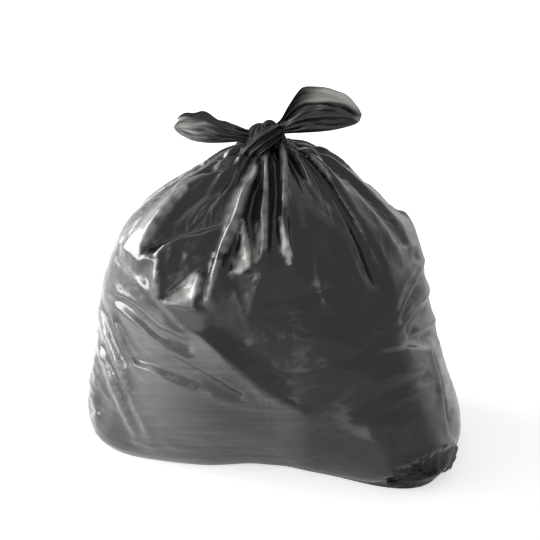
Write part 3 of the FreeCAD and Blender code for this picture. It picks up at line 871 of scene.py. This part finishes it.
leftEar = dict(
    closedRim=True, depth=0.010,    # metres behind the sack's middle
    upper=[(256, 131), (246, 129), (236, 125), (224, 121), (213, 116),
           (201, 112), (190, 113), (181, 117), (176, 122), (174, 127)],
    lower=[(256, 141), (247, 141), (236, 142), (222, 143), (206, 143),
           (193, 141), (184, 137), (178, 133), (175, 130), (174, 128)],
    thick=[5, 6, 7, 8, 9, 9, 8, 6, 4, 2],   # mm to each side, from the knot to the tip
    pleats=7, pleatDepth=0.0018, frontPleats=0.8, seed=3,
)

rightEar = dict(
    closedRim=False, depth=0.014,
    lower=[(270, 137), (283, 134), (300, 133), (318, 132), (334, 130), (347, 127), (356, 124), (360, 121)],
    upper=[(272, 129), (283, 124), (294, 117), (306, 110), (320, 106), (333, 106), (345, 109), (354, 114), (360, 120)],
    back=[(271, 127), (280, 119), (288, 106), (295, 96), (303, 89), (315, 88),
          (328, 88), (340, 92), (351, 98), (358, 106), (362, 115)],
    thick=[5, 8, 12, 15, 17, 15, 11, 5],
    pleats=8, pleatDepth=0.0020, frontPleats=0.35, seed=5,
)


def earSide(ear, rim, side, rows, columns):
    # one layer of film, from the ear's lower fold to its rim, bowed out to that side
    along = np.linspace(0, 1, rows)[:, None]
    rise = np.linspace(0, 1, columns)[None, :]
    thick = 0.001 * np.interp(along, np.linspace(0, 1, len(ear["thick"])), ear["thick"])
    rimDepth = ear["depth"] + (0 if ear["closedRim"] else side * thick[:, 0]) + np.zeros(rows)
    low = np.array([fromPhoto(u, v, ear["depth"]) for u, v in curveThrough(ear["lower"], rows)])
    high = np.array([fromPhoto(u, v, y) for (u, v), y in zip(curveThrough(rim, rows), rimDepth)])
    high[:, 1] = ear["depth"]
    sheet = (low[:, None, :] * (1 - rise[..., None]) + high[:, None, :] * rise[..., None]).transpose(2, 0, 1).copy()
    bow = np.sin(math.pi * rise ** 0.8) ** 0.7 if ear["closedRim"] else np.sqrt(1 - (1 - rise) ** 2)
    pleat = np.sin(ear["pleats"] * math.pi * rise + 2.2 * np.sin(2.1 * along + ear["seed"]) + side)
    pleat = np.abs(pleat) ** 0.7 * np.sign(pleat)
    uneven = ripple((rows, columns), 9, 22, ear["seed"] + side)
    sheet[1] += side * thick * bow
    depth = ear["pleatDepth"] * (ear["frontPleats"] if side < 0 else 1)
    sheet[1] += side * depth * pleat * (1.1 - 0.75 * along) * np.minimum(1, 6 * rise)
    sheet[1] += 0.0011 * uneven * np.minimum(1, 5 * along) * np.minimum(1, 5 * rise)
    wavyRim = ripple((rows, columns), 40, 16, ear["seed"] + 9)
    sheet[2] += 0.0012 * wavyRim * rise * np.minimum(1, 4 * along)
    return sheet


def streaksAlong(ear, rows, columns, coarse, seed):
    fine = 0.5 * ripple((rows, columns), 9, 40, ear["seed"] + seed + 10)
    return coarse * ripple((rows, columns), 4, 30, ear["seed"] + seed) + fine


def makeEars(material):
    rows, columns = 150, 60
    along = np.linspace(0, 1, rows)[:, None]
    rise = np.linspace(0, 1, columns)[None, :]
    for name, ear in (("leftEar", leftEar), ("rightEar", rightEar)):
        near = earSide(ear, ear["upper"], -1, rows, columns)
        far = earSide(ear, ear.get("back", ear["upper"]), 1, rows, columns)
        far[:, :, 0] = near[:, :, 0]
        piece = openGrid(name, np.concatenate((near[:, :, ::-1], far[:, :, 1:]), axis=2), material)
        streaks = streaksAlong(ear, rows, columns, 0.6, 30)
        streaksBack = streaksAlong(ear, rows, columns, 0.7, 31)
        if ear["closedRim"]:
            # painted light, pale towards its tip, with painted shade along its upper edge
            shadedUpperEdge = smoothStep(along, 0.4, 0.5) * (1 - smoothStep(along, 0.78, 0.9))
            shadedUpperEdge = shadedUpperEdge * smoothStep(rise, 0.78, 0.92)
            pale = smoothStep(along + 0.06 * streaks, 0.45, 0.9) * (0.52 + 0.32 * streaks) - 0.5 * shadedUpperEdge
            paleBack = pale
        else:
            # painted light: dark outside with a pale tip, pale inside the pocket
            pale = 0.05 * smoothStep(along, 0.3, 0.9) * (1 + 0.5 * streaks)
            pale = pale + 0.5 * smoothStep(along + 0.02 * streaks, 0.9, 1.0)
            inside = smoothStep(along + 0.05 * streaksBack, 0.25, 0.6)
            paleBack = inside * smoothStep(rise + 0.08 * streaksBack, 0.45, 0.75) * (0.95 + 0.45 * streaksBack)
        thin = np.concatenate((pale[:, ::-1] + 0 * rise, (paleBack + 0 * rise)[:, 1:]), axis=1)
        paint(piece, np.clip(thin, 0, 1).ravel())


def paint(piece, thin):
    # how much painted light (highlight, reflection and light through the film) the film's colour carries at each
    # point, 0 to 1
    layer = piece.data.attributes.new("thinFilm", "FLOAT", "POINT")
    layer.data.foreach_set("value", thin.astype(np.float32))


knot = dict(
    middle=(-0.013, 0.012, 0.434),
    ball=(0.021, 0.018, 0.020), ballPleats=13,
    bandHalf=0.0112, bandThick=0.0068,
    bandRidges=3.0, bandPleat=0.0028,
    # the turn leans across the neck, from under the right ear down to the left: pixel, pixel, depth
    front=[(277, 131, 0.008), (272, 134, -0.003), (264, 140, -0.013), (256, 148, -0.014), (248, 155, -0.004)],
    behind=[(-0.046, 0.020, 0.412), (-0.032, 0.037, 0.422), (-0.012, 0.038, 0.432), (0.002, 0.026, 0.438)],
    root=[(279, 147, 0.010), (279, 139, 0.012), (280, 132, 0.013), (284, 127, 0.014), (289, 124, 0.014)],
    rootFoot=0.0150, rootTop=0.0050,
    loop=[(263, 136, 0.008), (265, 128, 0.008), (269, 124, 0.008), (274, 126, 0.008), (275, 135, 0.008)],
    loopHalf=0.0038,
)


def strap(path, middle, columns=64):
    # a flat, pleated rope of film that lies round the neck
    rows = len(path)
    ahead = unit(np.gradient(path, axis=0))
    out = path - middle
    out = unit(out - (out * ahead).sum(axis=1, keepdims=True) * ahead)
    t = np.linspace(0, 1, rows)[:, None]
    angle = sideOf(columns)
    turn = 2 * math.pi * t
    wide = knot["bandHalf"] * (1 + 0.16 * np.sin(turn + 0.6) - 0.10 * np.cos(2 * turn))
    pleat = np.cos(knot["bandRidges"] * math.pi * np.cos(angle) + 1.2 * np.sin(turn + 1) + 0.6 * np.sin(3 * turn))
    pleat = np.sign(pleat) * np.abs(pleat) ** 0.8
    thick = knot["bandThick"] * (1 + 0.2 * np.sin(2 * turn))
    rise = thick * np.sin(angle) + knot["bandPleat"] * pleat * np.maximum(np.sin(angle), 0) ** 0.5
    rise = rise + 0.0013 * ripple((rows, columns), 9, 14, 21)
    return sweep(path, np.cross(ahead, out), out, wide * np.cos(angle), rise)


def makeKnot(material):
    middle = np.array(knot["middle"])
    turn = [fromPhoto(*place) for place in knot["front"]] + [np.array(place) for place in knot["behind"]]
    # drawn more than once round and cut to one turn, so that its ends meet smoothly
    path = curveThrough(turn[-2:] + turn + turn[:3], 240)
    starts = np.linalg.norm(path[:120] - turn[0], axis=1).argmin()
    ends = 120 + np.linalg.norm(path[120:] - turn[0], axis=1).argmin()
    openGrid("knotBand", strap(path[starts:ends + 1], middle), material, closed=True)
    # the ball that the turn holds shut
    rows, columns = 60, 96
    tilt, angle = np.linspace(0, math.pi, rows)[:, None], sideOf(columns)
    fold = np.cos(knot["ballPleats"] * angle + 2.0 * np.cos(tilt)) * np.sin(tilt)
    size = 1 + 0.07 * fold + 0.03 * ripple((rows, columns), 10, 10, 33) * np.sin(tilt)
    x, y, z = knot["ball"]
    ball = np.array((
        x * np.sin(tilt) * np.cos(angle) * size,
        y * np.sin(tilt) * np.sin(angle) * size,
        z * np.cos(tilt) * size,
    )) + middle[:, None, None]
    openGrid("knotBall", ball, material, closed=True)
    # the gathered film that runs up out of the sack into the open ear
    root = curveThrough([fromPhoto(*place) for place in knot["root"]], 80)
    narrows = knot["rootFoot"] - knot["rootTop"]
    rootHalf = lambda t: knot["rootFoot"] - narrows * math.sin(0.5 * math.pi * min(1, 1.4 * t))
    openGrid("earRoot", rope(root, rootHalf, 9, 0.20, 44, columns=96), material, closed=True)
    # the small loop of the mouth that stands between the ears
    loop = curveThrough([fromPhoto(*place) for place in knot["loop"]], 60)
    loopHalf = lambda t: knot["loopHalf"] + 0.0011 * math.sin(5 * t)
    openGrid("mouthLoop", rope(loop, loopHalf, 5, 0.25, 40), material, closed=True)


seal = dict(
    # pixel, pixel, mm above the floor
    line=[(388, 485, 9), (400, 479, 12), (412, 472, 14), (424, 466, 14),
          (436, 459, 14), (446, 453, 13), (457, 448, 10)],
    half=0.0190, seed=52,
)


def makeCornerSeal(material):
    # the bunched end of the bottom seal, crumpled at the sack's front right corner; its darker material is painted
    # shade
    rows, columns = 190, 110
    path = curveThrough([onLevel(u, v, 0.001 * z) for u, v, z in seal["line"]], rows)
    t = np.linspace(0, 1, rows)[:, None]
    angle = sideOf(columns)
    ahead = unit(np.gradient(path, axis=0))
    out = unit(np.cross(ahead, (0, 0, 1.0)))
    lumps = ripple((rows, columns), 22, 24, seal["seed"])
    folds = -np.abs(ripple((rows, columns), 13, 15, seal["seed"] + 1))
    folds = folds - 0.6 * np.abs(ripple((rows, columns), 7, 8, seal["seed"] + 2))
    reach = seal["half"] * np.sin(math.pi * t) ** 0.45
    reach = reach * (1 + 0.16 * lumps) + 0.0024 * (folds + 1) * np.sin(math.pi * t)
    sheet = sweep(path, out, np.cross(out, ahead), reach * np.cos(angle), 0.85 * reach * np.sin(angle))
    sheet[2] = np.maximum(sheet[2], film["floorGap"])
    openGrid("cornerTip", sheet, material, closed=True)


blownFilm = dict(
    name="blownLdpeFilm", ior=1.51, coat=0.50, coatRough=0.09, rough=(0.20, 0.36),
    dark="#110f12", lighter="#1f1d20", thin="#d2d2cd", crinkle=8, high=0.0016,
)
# a darker copy of the film, painted shade for the knot, the seal and the sack's crushed corner; it is also rougher
crushedShadedFilm = dict(
    name="crushedShadedLdpeFilm", ior=1.51, coat=0.05, coatRough=0.20, rough=(0.42, 0.58),
    dark="#0a090b", lighter="#141215", thin="#d2d2cd", crinkle=4, high=0.0020,
)


def filmMaterial(finish):
    # black LDPE blown to 25 microns: glossy on both faces, with painted light (highlights, reflections and light
    # through the film) mixed into its colour. Pulled tight in the knot and the seal it is crushed, so it loses its
    # gloss, and its darker colours there are painted shade.
    material = bpy.data.materials.new(finish["name"])
    material.use_nodes = True
    tree = material.node_tree
    shader = tree.nodes["Principled BSDF"]
    shader.inputs["IOR"].default_value = finish["ior"]
    shader.inputs["Coat Weight"].default_value = finish["coat"]
    shader.inputs["Coat Roughness"].default_value = finish["coatRough"]
    shader.inputs["Coat IOR"].default_value = 1.5
    place = addNode(tree, "ShaderNodeNewGeometry").outputs["Position"]
    thin = addNode(tree, "ShaderNodeAttribute", attribute_name="thinFilm").outputs["Fac"]
    cloudy = addNode(tree, "ShaderNodeTexNoise", {"Vector": place}, Scale=1000 / 55, Detail=3.0, Roughness=0.55)
    cloudy = cloudy.outputs["Fac"]
    dark = addNode(tree, "ShaderNodeMix", {"Factor": cloudy}, data_type="RGBA")
    dark.inputs[6].default_value = toLinear(finish["dark"])
    dark.inputs[7].default_value = toLinear(finish["lighter"])
    # painted light: the pale colour is mixed in by the painted share
    colour = addNode(tree, "ShaderNodeMix", {"Factor": thin, 6: dark.outputs[2]}, data_type="RGBA")
    colour.inputs[7].default_value = toLinear(finish["thin"])
    tree.links.new(colour.outputs[2], shader.inputs["Base Color"])
    tree.links.new(ramp(tree, cloudy, 0.3, 0.7, *finish["rough"]), shader.inputs["Roughness"])
    # crinkles of 3 to 8 mm, sharp along their ridges, in patches, and calmer where light is painted in
    crinkle = addNode(tree, "ShaderNodeTexNoise", {"Vector": place}, Scale=1000 / finish["crinkle"],
                      Detail=3.0, Roughness=0.6, Distortion=0.6).outputs["Fac"]
    ridge = addNode(tree, "ShaderNodeMath", {0: addMath(tree, "SUBTRACT", crinkle, 0.5)}, operation="ABSOLUTE")
    patches = addMath(tree, "MULTIPLY", cloudy, ramp(tree, thin, 0.05, 0.35, 1.0, 0.35))
    height = addMath(tree, "MULTIPLY", ridge.outputs[0], patches)
    bump = addNode(tree, "ShaderNodeBump", {"Height": height}, Strength=0.6, Distance=finish["high"])
    tree.links.new(bump.outputs["Normal"], shader.inputs["Normal"])
    tree.links.new(bump.outputs["Normal"], shader.inputs["Coat Normal"])
    return material


# light, floor and background

def lamp(name, at, size, watts, toward=(0, 0, 0.22)):
    data = bpy.data.lights.new(name, "AREA")
    data.shape = "RECTANGLE"
    data.size, data.size_y = size
    data.energy = watts
    light = bpy.data.objects.new(name, data)
    light.location = at
    light.rotation_mode = "QUATERNION"
    light.rotation_quaternion = (Vector(at) - Vector(toward)).to_track_quat("Z", "Y")
    light.visible_camera = False
    bpy.context.scene.collection.objects.link(light)


stage = dict(
    floorHalf=6.0,
    floorColour="#f2f2f2",
    floorRough=0.8,
    nearGlow=0.60, farGlow=1.0,     # how white the floor shows by itself, at the sack and far off
    glowFrom=0.45, glowTo=1.6,      # metres from the sack
    wallTo=(-0.40, 0.85, -0.35),    # the white wall is on this side, and the room darkens away from it
    wallFades=(-0.55, 0.30), dark=0.50,
    lampSide=(-0.95, 0.12, 0.0),    # the lamps are on this side, and the floor shines most there
    shineFrom=-0.02, shineTo=0.34,  # metres towards them
    shineLow=0.62, shineHigh=1.8,
    worldLight=0.42,
)

# where each soft lamp hangs, its width and height in metres, and watts
lamps = dict(
    keyLeft=((-1.75, 0.85, 0.80), (1.15, 0.9), 29),
    sideLeft=((-2.2, -0.05, 0.62), (0.9, 0.6), 16),
    softLeft=((-2.3, -1.1, 0.75), (1.5, 1.3), 15),
)


def inFilm(tree):
    # 1 for the rays that the film's gloss sends on, and that it lets through
    path = addNode(tree, "ShaderNodeLightPath")
    return addMath(tree, "MAXIMUM", path.outputs["Is Glossy Ray"], path.outputs["Is Transmission Ray"])


def makeWorld():
    world = bpy.data.worlds.new("studio")
    bpy.context.scene.world = world
    world.use_nodes = True
    tree = world.node_tree
    tree.nodes.clear()
    way = addNode(tree, "ShaderNodeTexCoord").outputs["Generated"]
    toward = addNode(tree, "ShaderNodeVectorMath", {0: way}, operation="DOT_PRODUCT")
    toward.inputs[1].default_value = Vector(stage["wallTo"]).normalized()
    high = ramp(tree, toward.outputs["Value"], *stage["wallFades"], stage["dark"], 1.0,
                interpolation_type="SMOOTHSTEP")
    light = addNode(tree, "ShaderNodeBackground", Color=(1, 1, 1, 1), Strength=stage["worldLight"])
    wall = addNode(tree, "ShaderNodeBackground", {"Strength": high}, Color=(1, 1, 1, 1))
    room = addNode(tree, "ShaderNodeMixShader", {0: inFilm(tree), 1: light.outputs[0], 2: wall.outputs[0]})
    # plain white for the camera
    plain = addNode(tree, "ShaderNodeBackground", Color=(1, 1, 1, 1), Strength=1.0)
    seen = addNode(tree, "ShaderNodeLightPath").outputs["Is Camera Ray"]
    mix = addNode(tree, "ShaderNodeMixShader", {0: seen, 1: room.outputs[0], 2: plain.outputs[0]})
    addNode(tree, "ShaderNodeOutputWorld", {"Surface": mix.outputs[0]})


def floorMaterial():
    # matt white vinyl: it shows whiter away from the sack, so that its far edge is lost in white
    material = bpy.data.materials.new("paleFloor")
    material.use_nodes = True
    tree = material.node_tree
    vinyl = tree.nodes["Principled BSDF"]
    vinyl.inputs["Base Color"].default_value = toLinear(stage["floorColour"])
    vinyl.inputs["Roughness"].default_value = stage["floorRough"]
    place = addNode(tree, "ShaderNodeNewGeometry").outputs["Position"]
    away = addNode(tree, "ShaderNodeVectorMath", {"Vector": place}, operation="LENGTH").outputs["Value"]
    glow = ramp(tree, away, stage["glowFrom"], stage["glowTo"], stage["nearGlow"], stage["farGlow"],
                interpolation_type="SMOOTHSTEP")
    seen = addNode(tree, "ShaderNodeLightPath").outputs["Is Camera Ray"]
    glowing = addNode(tree, "ShaderNodeEmission", {"Strength": addMath(tree, "MULTIPLY", seen, glow)})
    lit = addNode(tree, "ShaderNodeAddShader", {0: vinyl.outputs[0], 1: glowing.outputs[0]})
    # painted light: in the film's gloss the floor is an emission, brightest on the lamps' side, standing in for their
    # light pooled there
    beside = addNode(tree, "ShaderNodeVectorMath", {0: place}, operation="DOT_PRODUCT")
    beside.inputs[1].default_value = stage["lampSide"]
    shine = ramp(tree, beside.outputs["Value"], stage["shineFrom"], stage["shineTo"], stage["shineLow"],
                 stage["shineHigh"], interpolation_type="SMOOTHSTEP")
    mirrored = addNode(tree, "ShaderNodeEmission", {"Strength": shine})
    both = addNode(tree, "ShaderNodeMixShader", {0: inFilm(tree), 1: lit.outputs[0], 2: mirrored.outputs[0]})
    tree.links.new(both.outputs[0], tree.nodes["Material Output"].inputs["Surface"])
    return material


def makeStage():
    makeWorld()
    w = stage["floorHalf"]
    addMesh("floor", [(-w, -w, 0), (w, -w, 0), (w, w, 0), (-w, w, 0)], [(0, 1, 2, 3)], [floorMaterial()])
    for name, (at, size, watts) in lamps.items():
        lamp(name, at, size, watts)
    bpy.context.scene.view_settings.view_transform = "Standard"
    report("stage set")


makeCamera()
blown, crushedShaded = filmMaterial(blownFilm), filmMaterial(crushedShadedFilm)
makeSack(makeFilmSheet(contentForm()), [blown, crushedShaded])
makeEars(blown)
# the knot and the seal take the darker material: painted shade
makeKnot(crushedShaded)
makeCornerSeal(crushedShaded)
report("ears, knot and seal made")
makeStage()
